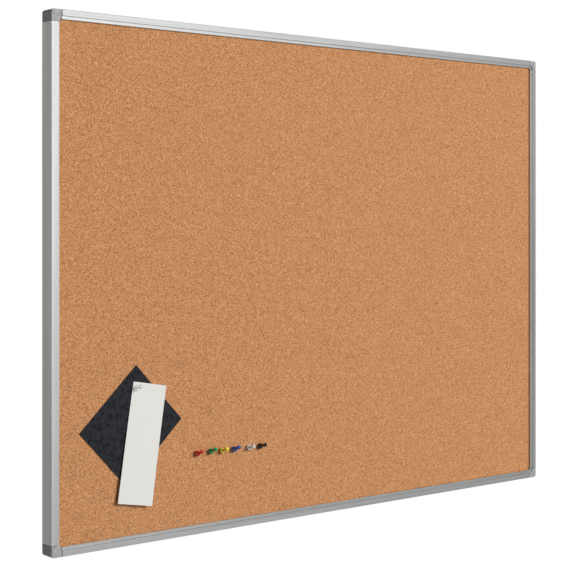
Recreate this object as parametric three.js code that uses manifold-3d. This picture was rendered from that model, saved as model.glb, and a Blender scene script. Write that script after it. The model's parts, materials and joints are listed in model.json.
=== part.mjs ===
// A framed cork board for the wall. Four aluminium rails with a stepped face meet in four moulded
// corners, whose caps pull off to reach the wall screws. The rails hold a panel of three glued layers.
// Push pins stand in the cork, and one of them holds a dark card and a white paper strip.
// Millimetres. +Z is up, +X is right as seen from the front, +Y runs back to the wall.
// The wall plane is y = 0, and the origin is the middle of the board's back on that plane.

import * as THREE from 'three';
import { mergeVertices } from 'three/addons/utils/BufferGeometryUtils.js';
import Module from 'manifold-3d';

const wasm = await Module();
wasm.setup();

// Whole board
const boardWidth = 1200;
const boardHeight = 900;
const frameDepth = 30;
const gap = 0.3; // clearance between pieces that seat on, slide in or pass through each other
const overrun = 1; // how far a cutter passes the faces that it cuts
const weldDistance = 0.0001; // points of one solid that are closer than this are the same point

// Rail section: "in" runs from the outer edge towards the cork, depths run back from the front face
const faceWidth = 16; // width of the rail seen from the front
const outerBand = 10.4; // raised band along the outer edge
const bandStep = 2; // drop from the outer band to the inner one
const bandFall = 0.1; // further fall of the inner band towards the cork
const lipDepth = 2.9; // depth of the inner edge that covers the cork's rim
const beadWidth = 1.4;
const beadDepth = 1;
const railWall = 1.4;
const chamberWidth = 6.2; // hollow that takes the corner's front prong
const flangeWidth = 9; // rear flange that lies on the wall
const rearLipWidth = 6; // lip behind the panel
const edgeRound = 0.8;
const sideGrooveDepth = 0.5;
const sideGrooves = [
  { depthShare: 0.1, width: 1.4 },
  { depthShare: 0.41, width: 2.4 },
  { depthShare: 0.65, width: 1.4 },
];

// Panel layers, from the front
const corkThickness = 3;
const coreThickness = 9;
const backingThickness = 0.8;
const glueLine = 0.1;

// Corners
const innerRadius = 4; // the cap's curve around the cork's corner
const capRadius = 5.5; // outer corner of the cap
const capWall = 1.8;
const capPlate = 3.4; // thickness of the cap's face
const ringLap = 1; // how far the cap's inner band reaches under its outer band
const snapThickness = 1.6;
const snapDepth = 8;
const wallScrewInset = 8.2; // centre of the wall screw's hole from both outer edges
const wallScrewRadius = 3.1;
const counterboreRadius = 4.5;
const counterboreDepth = 4;
const frontProngLength = 32;
const rearProngLength = 26;

// Frame screws, countersunk in the rear flange
const screwFromCorner = 33;
const screwHeadRadius = 2.7;
const screwShankRadius = 1.3;
const screwHeadDepth = 1.2;
const screwLength = 7.6;
const screwSunk = 0.2;
const screwPoint = 1.6;
const recessLength = 2.8;
const recessWidth = 0.6;
const recessDepth = 0.7;

// Push pins: lengths along the pin are measured outwards from the underside of its flange
const flangeRadius = 5.3;
const flangeRim = 1.4; // height of its upright edge, under the dome
const flangeThickness = 4.2;
const domeSteps = 4;
const waistRadius = 2.5;
const headRadius = 3.65;
const headLength = 4.8;
const headRound = 1;
const gripLength = 14.4;
const gripRound = 0.6;
const needleRadius = 0.6;
const needleLength = 11; // what stands out of the grip
const needlePoint = 2.5;
const needleSocket = 8; // depth of the needle's seat in the grip

// Each pin's place from the board's left and bottom edges, and how far it leans right and rises
const pins = [
  { name: 'red', fromLeft: 295.4, fromBottom: 141.4, lean: 16, rise: 23, colour: 0xb5251c },
  { name: 'green', fromLeft: 324.9, fromBottom: 142.5, lean: 16, rise: 24, colour: 0x17835a },
  { name: 'yellow', fromLeft: 349.6, fromBottom: 140.8, lean: 18, rise: 22, colour: 0xd9c33c },
  { name: 'blue', fromLeft: 377.7, fromBottom: 141, lean: 14, rise: 24, colour: 0x2a4a96 },
  { name: 'clear', fromLeft: 412, fromBottom: 141, lean: 12, rise: 15, colour: 0xdde3e4 },
  { name: 'black', fromLeft: 437.6, fromBottom: 140.8, lean: 16, rise: 17, colour: 0x17181a },
];
const notePin = { name: 'note', fromLeft: 168.8, fromBottom: 266.8, lean: 1, rise: 16, colour: 0xdde3e4 };

// Papers: distances on each sheet run from the hole that the pin makes
const cardWidth = 156;
const cardHeight = 137;
const cardThickness = 0.4;
const cardHoleFromRight = 27.2;
const cardHoleFromTop = 29;
const cardTurn = -43.6; // degrees clockwise as seen from the front
const stripWidth = 69;
const stripLength = 207;
const stripThickness = 0.3;
const stripHoleFromLeft = 7.8;
const stripHoleFromTop = 10.7;
const stripTurn = 9.9;
const stripCurlLeft = 5.5; // how far its lower corners stand off: the strip is a little twisted
const stripCurlRight = 8;
const stripCurlPower = 1.3; // 1 for a straight lean from the pin, 2 for an even curl
const stripSteps = 14;

// Depths and places that follow from the sizes above
const lipBack = bandStep + bandFall + lipDepth;
const corkFront = lipBack + gap;
const coreFront = corkFront + corkThickness + glueLine;
const backingFront = coreFront + coreThickness + glueLine;
const webFront = backingFront + backingThickness + gap;
const webBack = webFront + railWall;
const flangeFront = frameDepth - railWall;
const chamberIn = railWall + chamberWidth;
const grooveIn = chamberIn + railWall; // bottom of the groove that the panel's edge stands in
const panelInset = grooveIn + gap;
const capLeg = faceWidth + innerRadius;
const seam = capLeg + gap; // where a rail begins, from the board's corner
const stepRadius = faceWidth - outerBand + innerRadius;
const ringRadius = stepRadius + ringLap;
const blockInset = capWall + gap;
const blockFront = capPlate + gap;
const gussetSum = 2 * capLeg - (ringRadius + gap) * Math.SQRT2; // x + z on the block's inner slope
const panelChamfer = gussetSum + gap * Math.SQRT2 - 2 * panelInset;
const rearProngIn = flangeWidth - railWall;
const screwIn = (railWall + gap + rearProngIn) / 2;
const quarter = Math.PI / 2;
const roundSteps = 32;
const smallSteps = 16;

const rightOf = (side) => (side * boardWidth) / 2;
const upOf = (side) => (side * boardHeight) / 2;
const atDepth = (depth) => depth - frameDepth; // y of a distance back from the front face

// Closed solids and meshes

function solidOf(geometry) {
  const bare = geometry.clone();
  bare.deleteAttribute('normal');
  bare.deleteAttribute('uv');
  const merged = mergeVertices(bare, weldDistance);
  const vertProperties = new Float32Array(merged.attributes.position.array);
  const triVerts = new Uint32Array(merged.index.array);
  const solid = new wasm.Manifold(new wasm.Mesh({ numProp: 3, vertProperties, triVerts }));
  if (solid.volume() > 0) return solid;
  const turned = triVerts.slice();
  for (let i = 0; i < turned.length; i += 3) {
    turned[i] = triVerts[i + 1];
    turned[i + 1] = triVerts[i];
  }
  return new wasm.Manifold(new wasm.Mesh({ numProp: 3, vertProperties, triVerts: turned }));
}

function geometryOf(solid) {
  const { vertProperties, triVerts } = solid.getMesh();
  const geometry = new THREE.BufferGeometry();
  geometry.setAttribute('position', new THREE.BufferAttribute(vertProperties, 3));
  geometry.setIndex(new THREE.BufferAttribute(triVerts, 1));
  const flat = geometry.toNonIndexed();
  flat.computeVertexNormals();
  return flat;
}

const joined = (first, ...rest) => rest.reduce((whole, piece) => whole.add(piece), first);
const cut = (first, ...cutters) => cutters.reduce((whole, cutter) => whole.subtract(cutter), first);

// A box between two sideways places, two depths and two heights
function boxSolid([left, right], [front, back], [low, high]) {
  const geometry = new THREE.BoxGeometry(right - left, back - front, high - low);
  geometry.translate((left + right) / 2, atDepth((front + back) / 2), (low + high) / 2);
  return solidOf(geometry);
}

// A flat outline in the board's plane, given its depth
function slabSolid(outline, [front, back], bevel = {}) {
  const geometry = new THREE.ExtrudeGeometry(outline, {
    depth: back - front,
    curveSegments: roundSteps / 4,
    bevelEnabled: false,
    ...bevel,
  });
  geometry.rotateX(quarter);
  geometry.translate(0, atDepth(back), 0);
  return solidOf(geometry);
}

// A turned solid about an axis that runs front to back; each point is a radius and a y
function turnedSolid(points, x = 0, z = 0, steps = smallSteps) {
  const profile = points.map(([radius, y]) => new THREE.Vector2(radius, y));
  const geometry = new THREE.LatheGeometry(profile, steps);
  geometry.translate(x, 0, z);
  return solidOf(geometry);
}

function roundRod(radius, [front, back], x = 0, z = 0, steps = smallSteps) {
  const ends = [atDepth(front), atDepth(back)];
  return turnedSolid([[0, ends[0]], [radius, ends[0]], [radius, ends[1]], [0, ends[1]]], x, z, steps);
}

const board = new THREE.Group();

function addPiece(name, solid, finish, place = new THREE.Matrix4()) {
  const mesh = new THREE.Mesh(geometryOf(solid), new THREE.MeshStandardMaterial(finish));
  mesh.name = name;
  mesh.applyMatrix4(place);
  board.add(mesh);
}

const anodised = { color: 0xc9cac9, roughness: 0.38, metalness: 0.85 };
const greyMoulding = { color: 0x9b9d9f, roughness: 0.62, metalness: 0 };
const blackMoulding = { color: 0x2d2f31, roughness: 0.6, metalness: 0 };
const zincSteel = { color: 0xb9bdc1, roughness: 0.3, metalness: 1 };
const cork = { color: 0xc78f64, roughness: 0.9, metalness: 0 };
const fibreboard = { color: 0xb49a74, roughness: 0.95, metalness: 0 };
const backingPaper = { color: 0x8f8b84, roughness: 0.85, metalness: 0 };
const darkCard = { color: 0x2b3137, roughness: 0.7, metalness: 0 };
const whitePaper = { color: 0xe6e5e0, roughness: 0.8, metalness: 0 };

// Rails

function railOutline() {
  const outline = new THREE.Shape();
  const bandEnd = bandStep + bandFall;
  outline.moveTo(edgeRound, 0);
  outline.lineTo(outerBand, 0);
  outline.lineTo(outerBand, bandStep);
  outline.lineTo(faceWidth, bandEnd);
  outline.lineTo(faceWidth, lipBack);
  outline.lineTo(faceWidth - beadWidth, lipBack);
  outline.lineTo(faceWidth - beadWidth, lipBack - beadDepth);
  outline.lineTo(grooveIn, lipBack - beadDepth);
  outline.lineTo(grooveIn, webFront);
  outline.lineTo(grooveIn + rearLipWidth, webFront);
  outline.lineTo(grooveIn + rearLipWidth, webBack);
  outline.lineTo(railWall, webBack);
  outline.lineTo(railWall, flangeFront);
  outline.lineTo(flangeWidth, flangeFront);
  outline.lineTo(flangeWidth, frameDepth);
  outline.lineTo(0, frameDepth);
  for (const { depthShare, width } of [...sideGrooves].reverse()) {
    const middle = depthShare * frameDepth;
    outline.lineTo(0, middle + width / 2);
    outline.lineTo(sideGrooveDepth, middle + width / 4);
    outline.lineTo(sideGrooveDepth, middle - width / 4);
    outline.lineTo(0, middle - width / 2);
  }
  outline.lineTo(0, edgeRound);
  outline.absarc(edgeRound, edgeRound, edgeRound, Math.PI, 3 * quarter, false);
  const chamber = new THREE.Path();
  chamber.moveTo(railWall, railWall);
  chamber.lineTo(railWall, webFront);
  chamber.lineTo(chamberIn, webFront);
  chamber.lineTo(chamberIn, railWall);
  chamber.closePath();
  outline.holes.push(chamber);
  return outline;
}

// The countersunk hole in the rear flange, a clearance larger than the screw
function countersink(x, z) {
  const headRadius = screwHeadRadius + gap;
  const shankRadius = screwShankRadius + gap;
  const profile = [
    [0, overrun],
    [headRadius, overrun],
    [headRadius, -screwSunk],
    [shankRadius, -screwSunk - screwHeadDepth],
    [shankRadius, -railWall - overrun],
    [0, -railWall - overrun],
  ];
  return turnedSolid(profile, x, z);
}

// A rail as it lies along the top, its outer edge on z = 0
function railSolid(boardSide) {
  const length = boardSide - 2 * seam;
  const geometry = new THREE.ExtrudeGeometry(railOutline(), {
    depth: length,
    curveSegments: 3,
    bevelEnabled: false,
  });
  geometry.rotateY(quarter);
  geometry.translate(-length / 2, -frameDepth, 0);
  const screwX = boardSide / 2 - screwFromCorner;
  return cut(solidOf(geometry), countersink(-screwX, -screwIn), countersink(screwX, -screwIn));
}

const sides = [
  { name: 'top', along: boardWidth, reach: boardHeight / 2 },
  { name: 'right', along: boardHeight, reach: boardWidth / 2 },
  { name: 'bottom', along: boardWidth, reach: boardHeight / 2 },
  { name: 'left', along: boardHeight, reach: boardWidth / 2 },
];
sides.forEach(({ name, along, reach }, turns) => {
  const place = new THREE.Matrix4().makeRotationY(turns * quarter);
  place.multiply(new THREE.Matrix4().makeTranslation(0, 0, reach));
  addPiece(`rail_${name}`, railSolid(along), anodised, place);
});

// Corners, drawn for the top left with the board's corner at x = 0, z = 0

function cornerOutline(inset, radius, reach) {
  const outline = new THREE.Shape();
  const centre = inset + radius;
  outline.moveTo(reach, -inset);
  outline.lineTo(centre, -inset);
  outline.absarc(centre, -centre, radius, quarter, Math.PI, false);
  outline.lineTo(inset, -reach);
  outline.lineTo(reach, -reach);
  outline.closePath();
  return outline;
}

// The same leg on both sides of the corner: the box along the top, and its twin down the side
function bothLegs([from, to], depths, [nearEdge, farEdge]) {
  const along = boxSolid([from, to], depths, [-farEdge, -nearEdge]);
  const down = boxSolid([nearEdge, farEdge], depths, [-to, -from]);
  return [along, down];
}

const snapFrom = wallScrewInset + counterboreRadius + overrun;
const snapTo = capLeg - 2 * overrun;
const snapIn = (blockInset + grooveIn - snapThickness) / 2;

function capSolid() {
  const reach = capLeg + 2 * edgeRound;
  const rounded = {
    bevelEnabled: true,
    bevelThickness: edgeRound,
    bevelSize: edgeRound,
    bevelOffset: -edgeRound,
    bevelSegments: 3,
  };
  const envelope = slabSolid(cornerOutline(0, capRadius, reach), [edgeRound, frameDepth], rounded);
  const bounds = boxSolid([0, capLeg], [0, frameDepth], [-capLeg, 0]);
  const hollow = slabSolid(
    cornerOutline(capWall, capRadius - capWall, capLeg + overrun),
    [capPlate, frameDepth + overrun],
  );
  const corkCurve = roundRod(stepRadius, [-overrun, capPlate + overrun], capLeg, -capLeg, roundSteps);
  const innerBand = turnedSolid(
    [
      [innerRadius, atDepth(bandStep + bandFall)],
      [stepRadius, atDepth(bandStep)],
      [ringRadius, atDepth(bandStep)],
      [ringRadius, atDepth(lipBack)],
      [innerRadius, atDepth(lipBack)],
      [innerRadius, atDepth(bandStep + bandFall)],
    ],
    capLeg,
    -capLeg,
    roundSteps,
  );
  const shell = cut(envelope.intersect(bounds), hollow, corkCurve);
  const snapDepths = [bandStep, capPlate + snapDepth];
  const snaps = bothLegs([snapFrom, snapTo], snapDepths, [snapIn, snapIn + snapThickness]);
  return joined(shell, innerBand.intersect(bounds), ...snaps);
}

function blockSolid() {
  const radius = capRadius - blockInset;
  const centre = blockInset + radius;
  const upper = new THREE.Shape();
  upper.moveTo(capLeg, -blockInset);
  upper.lineTo(centre, -blockInset);
  upper.absarc(centre, -centre, radius, quarter, Math.PI, false);
  upper.lineTo(blockInset, -capLeg);
  upper.lineTo(grooveIn, -capLeg);
  upper.lineTo(grooveIn, grooveIn - gussetSum);
  upper.lineTo(gussetSum - grooveIn, -grooveIn);
  upper.lineTo(capLeg, -grooveIn);
  upper.closePath();
  const walls = slabSolid(upper, [blockFront, webFront + overrun]);
  const pad = slabSolid(cornerOutline(blockInset, radius, capLeg), [webFront, frameDepth]);
  const root = capLeg - overrun;
  const prongEdge = railWall + gap;
  const prongIn = chamberIn - gap;
  const prongDepths = [prongEdge, webFront - gap];
  const rearDepths = [webBack + gap, flangeFront - gap];
  const throatDepths = [blockFront, webFront - gap];
  const throat = bothLegs([root, seam + overrun], throatDepths, [prongEdge + overrun, prongIn]);
  const front = bothLegs([seam, seam + frontProngLength], prongDepths, [prongEdge, prongIn]);
  const rear = bothLegs([root, seam + rearProngLength], rearDepths, [prongEdge + overrun, rearProngIn]);
  const through = [0, frameDepth + overrun];
  const hole = roundRod(wallScrewRadius, through, wallScrewInset, -wallScrewInset, roundSteps);
  const counterbore = roundRod(
    counterboreRadius,
    [0, blockFront + counterboreDepth],
    wallScrewInset,
    -wallScrewInset,
    roundSteps,
  );
  const slots = bothLegs(
    [snapFrom - gap, snapTo + gap],
    [0, capPlate + snapDepth + gap],
    [snapIn - gap, snapIn + snapThickness + gap],
  );
  const pilotDepths = [flangeFront - screwLength, frameDepth];
  const pilots = [
    roundRod(screwShankRadius + gap, pilotDepths, screwFromCorner, -screwIn),
    roundRod(screwShankRadius + gap, pilotDepths, screwIn, -screwFromCorner),
  ];
  const whole = joined(walls, pad, ...throat, ...front, ...rear);
  return cut(whole, hole, counterbore, ...slots, ...pilots);
}

// A countersunk screw with a cross recess, its head towards the wall
function screwSolid() {
  const tip = -screwSunk - screwLength;
  const shaft = turnedSolid([
    [0, -screwSunk],
    [screwHeadRadius, -screwSunk],
    [screwShankRadius, -screwSunk - screwHeadDepth],
    [screwShankRadius, tip + screwPoint],
    [0, tip],
  ]);
  const depths = [frameDepth - screwSunk - recessDepth, frameDepth + overrun];
  const long = [-recessLength / 2, recessLength / 2];
  const short = [-recessWidth / 2, recessWidth / 2];
  return cut(shaft, boxSolid(long, depths, short), boxSolid(short, depths, long));
}

const corners = [
  { name: 'top_left', x: rightOf(-1), z: upOf(1) },
  { name: 'top_right', x: rightOf(1), z: upOf(1) },
  { name: 'bottom_right', x: rightOf(1), z: upOf(-1) },
  { name: 'bottom_left', x: rightOf(-1), z: upOf(-1) },
];
corners.forEach(({ name, x, z }, turns) => {
  const place = new THREE.Matrix4().makeTranslation(x, 0, z);
  place.multiply(new THREE.Matrix4().makeRotationY(turns * quarter));
  addPiece(`corner_block_${name}`, blockSolid(), blackMoulding, place);
  addPiece(`corner_cap_${name}`, capSolid(), greyMoulding, place);
  const seats = [[screwFromCorner, screwIn], [screwIn, screwFromCorner]];
  seats.forEach(([right, down], index) => {
    const seat = place.clone().multiply(new THREE.Matrix4().makeTranslation(right, 0, -down));
    addPiece(`frame_screw_${name}_${index + 1}`, screwSolid(), zincSteel, seat);
  });
});

// Push pins

// The pin's own frame: its flange's underside lies on y = 0 and its head points to -Y
function pinPlace({ fromLeft, fromBottom, lean, rise }, surfaceDepth) {
  const across = Math.tan(THREE.MathUtils.degToRad(lean));
  const up = Math.tan(THREE.MathUtils.degToRad(rise));
  const outwards = new THREE.Vector3(across, -1, up).normalize();
  const lift = flangeRadius * Math.sqrt(1 - outwards.y ** 2) + gap;
  const turn = new THREE.Quaternion().setFromUnitVectors(new THREE.Vector3(0, -1, 0), outwards);
  const base = new THREE.Vector3(
    rightOf(-1) + fromLeft,
    atDepth(surfaceDepth) - lift,
    upOf(-1) + fromBottom,
  );
  return new THREE.Matrix4().compose(base, turn, new THREE.Vector3(1, 1, 1));
}

function gripSolid() {
  const socket = needleRadius + gap;
  const headStart = gripLength - headLength;
  const neck = waistRadius + gripRound;
  const dome = Array.from({ length: domeSteps + 1 }, (_, step) => {
    const angle = (step / domeSteps) * (Math.PI / 2);
    return [
      neck + (flangeRadius - neck) * Math.cos(angle),
      -flangeRim - (flangeThickness - flangeRim) * Math.sin(angle),
    ];
  });
  return turnedSolid([
    [0, -needleSocket],
    [socket, -needleSocket],
    [socket, 0],
    [flangeRadius - gripRound, 0],
    [flangeRadius, -gripRound],
    ...dome,
    [waistRadius, -(flangeThickness + headStart) / 2],
    [neck, gripRound - headStart],
    [headRadius - headRound, -headStart],
    [headRadius, -headStart - headRound],
    [headRadius, headRound - gripLength],
    [headRadius - headRound, -gripLength],
    [0, -gripLength],
  ]);
}

function needleSolid() {
  return turnedSolid([
    [0, gap - needleSocket],
    [needleRadius, gap - needleSocket],
    [needleRadius, needleLength - needlePoint],
    [0, needleLength],
  ], 0, 0, smallSteps / 2);
}

// The way that a needle makes through what it is pushed into
function needleHole(place) {
  const radius = needleRadius + gap;
  const ends = [-2 * flangeRadius, needleLength + gap];
  const profile = [[0, ends[0]], [radius, ends[0]], [radius, ends[1]], [0, ends[1]]];
  const hole = new THREE.LatheGeometry(profile.map(([r, y]) => new THREE.Vector2(r, y)), smallSteps / 2);
  return solidOf(hole.applyMatrix4(place));
}

const cardFront = corkFront - gap - cardThickness;
const stripFront = cardFront - gap - stripThickness;
const notePlace = pinPlace(notePin, stripFront);
const pinPlaces = pins.map((pin) => pinPlace(pin, corkFront));

[...pins, notePin].forEach((pin, index) => {
  const place = pinPlaces[index] ?? notePlace;
  const plastic = { color: pin.colour, roughness: 0.25, metalness: 0 };
  addPiece(`pin_grip_${pin.name}`, gripSolid(), plastic, place);
  addPiece(`pin_needle_${pin.name}`, needleSolid(), zincSteel, place);
});

// Panel

function panelLayer(front, thickness) {
  const halfWidth = boardWidth / 2 - panelInset;
  const halfHeight = boardHeight / 2 - panelInset;
  const outline = new THREE.Shape();
  outline.moveTo(halfWidth, panelChamfer - halfHeight);
  outline.lineTo(halfWidth, halfHeight - panelChamfer);
  outline.lineTo(halfWidth - panelChamfer, halfHeight);
  outline.lineTo(panelChamfer - halfWidth, halfHeight);
  outline.lineTo(-halfWidth, halfHeight - panelChamfer);
  outline.lineTo(-halfWidth, panelChamfer - halfHeight);
  outline.lineTo(panelChamfer - halfWidth, -halfHeight);
  outline.lineTo(halfWidth - panelChamfer, -halfHeight);
  outline.closePath();
  const layer = slabSolid(outline, [front, front + thickness]);
  return cut(layer, ...pinPlaces.map(needleHole), needleHole(notePlace));
}

addPiece('cork_sheet', panelLayer(corkFront, corkThickness), cork);
addPiece('softboard_core', panelLayer(coreFront, coreThickness), fibreboard);
addPiece('backing_sheet', panelLayer(backingFront, backingThickness), backingPaper);

// Papers on the note pin

// The place of a sheet's hole: where the needle crosses that sheet's middle
function holePlace(front, thickness, turn) {
  const base = new THREE.Vector3().setFromMatrixPosition(notePlace);
  const inwards = new THREE.Vector3(0, 1, 0).transformDirection(notePlace);
  const middle = atDepth(front + thickness / 2);
  const crossing = base.addScaledVector(inwards, (middle - base.y) / inwards.y);
  const place = new THREE.Matrix4().makeTranslation(crossing.x, 0, crossing.z);
  return place.multiply(new THREE.Matrix4().makeRotationY(THREE.MathUtils.degToRad(turn)));
}

const paperHole = roundRod(needleRadius + 2 * gap, [-2 * flangeRadius, frameDepth]);

function cardSolid() {
  const right = cardHoleFromRight;
  const top = cardHoleFromTop;
  const depths = [cardFront, cardFront + cardThickness];
  const sheet = boxSolid([right - cardWidth, right], depths, [top - cardHeight, top]);
  return cut(sheet, paperHole);
}

// The strip lies flat down to the pin, and its lower end curls off the board
function stripSolid() {
  const below = stripLength - stripHoleFromTop;
  const downs = [-stripHoleFromTop];
  for (let step = 0; step <= stripSteps; step += 1) downs.push((step / stripSteps) * below);
  const front = downs.map((down) => new THREE.Vector2(down, 0));
  const back = downs.map((down) => new THREE.Vector2(down, stripThickness)).reverse();
  const geometry = new THREE.ExtrudeGeometry(new THREE.Shape([...front, ...back]), {
    depth: stripWidth,
    bevelEnabled: false,
  });
  geometry.rotateY(quarter);
  const { position } = geometry.attributes;
  for (let index = 0; index < position.count; index += 1) {
    const curl = THREE.MathUtils.lerp(stripCurlLeft, stripCurlRight, position.getX(index) / stripWidth);
    const lift = curl * (Math.max(-position.getZ(index), 0) / below) ** stripCurlPower;
    position.setY(index, position.getY(index) - lift);
  }
  geometry.translate(-stripHoleFromLeft, atDepth(stripFront), 0);
  return cut(solidOf(geometry), paperHole);
}

addPiece('note_card', cardSolid(), darkCard, holePlace(cardFront, cardThickness, cardTurn));
addPiece('note_strip', stripSolid(), whitePaper, holePlace(stripFront, stripThickness, stripTurn));

export default board;
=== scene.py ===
import json
import math

import bmesh
import bpy
from mathutils import Matrix, Vector


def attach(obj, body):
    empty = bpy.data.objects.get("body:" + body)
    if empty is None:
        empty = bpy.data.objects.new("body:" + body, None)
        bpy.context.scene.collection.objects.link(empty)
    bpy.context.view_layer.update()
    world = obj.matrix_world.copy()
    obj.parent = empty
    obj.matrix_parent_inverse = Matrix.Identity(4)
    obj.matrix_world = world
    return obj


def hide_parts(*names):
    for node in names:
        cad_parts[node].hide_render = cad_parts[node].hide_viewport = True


# A framed cork board: its finishes, its rounded rails and caps, its turned pins and its papers, in metres.
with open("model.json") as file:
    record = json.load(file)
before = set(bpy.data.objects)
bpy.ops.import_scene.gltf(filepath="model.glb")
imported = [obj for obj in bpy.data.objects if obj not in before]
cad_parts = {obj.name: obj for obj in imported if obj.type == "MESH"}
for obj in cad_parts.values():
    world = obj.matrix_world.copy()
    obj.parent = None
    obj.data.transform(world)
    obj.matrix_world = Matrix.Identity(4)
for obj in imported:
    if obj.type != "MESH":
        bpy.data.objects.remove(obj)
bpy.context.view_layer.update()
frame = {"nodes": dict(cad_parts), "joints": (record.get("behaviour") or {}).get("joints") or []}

mm = 0.001
joints = {joint["name"]: joint for joint in frame["joints"]}
cornerNames = ("top_left", "top_right", "bottom_right", "bottom_left")  # clockwise, as seen from the front
sideNames = ("top", "right", "bottom", "left")
quarter = math.pi / 2
weld = 0.001 * mm  # points nearer than this become one
softAngle = 40  # degrees: edges that turn less are shaded smooth

board = {
    "width": 1200 * mm,
    "height": 900 * mm,
    "depth": 30 * mm,
    "capLeg": 20 * mm,  # how far a corner cap reaches along each side
    "gap": 0.3 * mm,
}


# Node trees

def put(socket, value):
    if isinstance(value, Wire):
        socket.id_data.links.new(value.socket, socket)
    else:
        socket.default_value = value


class Wire:  # an output socket that takes part in sums
    def __init__(self, socket):
        self.socket = socket

    def reckon(self, operation, first, second=0.0):
        node = self.socket.id_data.nodes.new("ShaderNodeMath")
        node.operation = operation
        put(node.inputs[0], first)
        put(node.inputs[1], second)
        return Wire(node.outputs[0])

    def of(self, operation):  # such as its sine
        return self.reckon(operation, self)

    def __add__(self, other):
        return self.reckon("ADD", self, other)

    def __radd__(self, other):
        return self.reckon("ADD", other, self)

    def __sub__(self, other):
        return self.reckon("SUBTRACT", self, other)

    def __mul__(self, other):
        return self.reckon("MULTIPLY", self, other)

    def __rmul__(self, other):
        return self.reckon("MULTIPLY", other, self)

    def most(self, other):
        return self.reckon("MAXIMUM", self, other)

    def least(self, other):
        return self.reckon("MINIMUM", self, other)

    def beside(self, name):  # another output of the same node
        return Wire(self.socket.node.outputs[name])


class Tree:  # a node tree in the making
    def __init__(self, tree):
        self.tree = tree
        tree.nodes.clear()

    def node(self, kind, settings=None, inputs=None, out=0):
        made = self.tree.nodes.new(kind)
        for name, value in (settings or {}).items():
            if name == "stops":
                self.fillRamp(made.color_ramp, value)
            else:
                setattr(made, name, value)
        for key, value in (inputs or {}).items():
            put(made.inputs[key], value)
        return Wire(made.outputs[out]) if made.outputs else made

    def fillRamp(self, ramp, stops):
        while len(ramp.elements) < len(stops):
            ramp.elements.new(1)
        for element, (place, colour) in zip(ramp.elements, stops):
            element.position = place
            element.color = colour


def tint(red, green, blue):  # an 8-bit screen colour as a linear one
    def linear(level):
        level /= 255
        return level / 12.92 if level <= 0.04045 else ((level + 0.055) / 1.055) ** 2.4
    return (linear(red), linear(green), linear(blue), 1)


def grey(level):  # a linear grey
    return (level, level, level, 1)


class Finish(Tree):  # a material with one Principled shader
    def __init__(self, name, **sockets):
        self.material = bpy.data.materials.new(name)
        self.material.use_nodes = True
        super().__init__(self.material.node_tree)
        self.shader = self.tree.nodes.new("ShaderNodeBsdfPrincipled")
        output = self.tree.nodes.new("ShaderNodeOutputMaterial")
        self.tree.links.new(self.shader.outputs[0], output.inputs["Surface"])
        self.place = self.node("ShaderNodeTexCoord", out="Object")
        for name, value in sockets.items():
            self.set(name.replace("_", " "), value)

    def set(self, name, value):
        put(self.shader.inputs[name], value)

    def noise(self, size, detail=2.0, stretch=None):  # 0 to 1, its blobs about size across
        where = self.place
        if stretch:
            where = self.node("ShaderNodeMapping", None, {"Vector": where, "Scale": stretch})
        return self.node("ShaderNodeTexNoise", None, {"Vector": where, "Scale": 1 / size, "Detail": detail})

    def ramp(self, value, stops):
        return self.node("ShaderNodeValToRGB", {"stops": stops}, {"Fac": value})

    def product(self, first, second):  # of two colours
        return self.node("ShaderNodeMix", {"data_type": "RGBA", "blend_type": "MULTIPLY"},
                         {0: 1.0, 6: first, 7: second}, out=2)

    def shade(self, colour, value, depth):  # darker where value is 0, lighter where it is 1
        return self.product(colour, self.ramp(value, [(0, grey(1 - depth)), (1, grey(1 + depth))]))

    def relief(self, height, depth, strength):
        self.set("Normal", self.node("ShaderNodeBump", None,
                                     {"Height": height, "Distance": depth, "Strength": strength}))


# Finishes

cork = {
    "grain": 1.25 * mm,
    "crumb": 0.8 * mm,
    "cloud": 60 * mm,
    "wander": 0.5 * mm,  # how far a grain's outline strays
    "flecks": [
        (0.0, tint(112, 68, 38)),
        (0.06, tint(161, 108, 67)),
        (0.3, tint(190, 134, 88)),
        (0.75, tint(205, 148, 102)),
        (1.0, tint(232, 177, 129)),
    ],
    "crumbDepth": 0.11,
    "cloudDepth": 0.03,
    "seamShade": (0.86, 0.83, 0.8, 1),  # painted shade in the hollows between the grains
    "seamWidth": 0.07,  # as a share of a grain
    "gloss": 0.2,
    "roughness": (0.82, 0.12),  # the least, and what is added to it
    "relief": 0.2 * mm,
    "reliefStrength": 0.5,
    "grainHeight": 0.5,  # shares of the relief
    "crumbHeight": 0.3,
    "domeHeight": 0.2,
}


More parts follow.
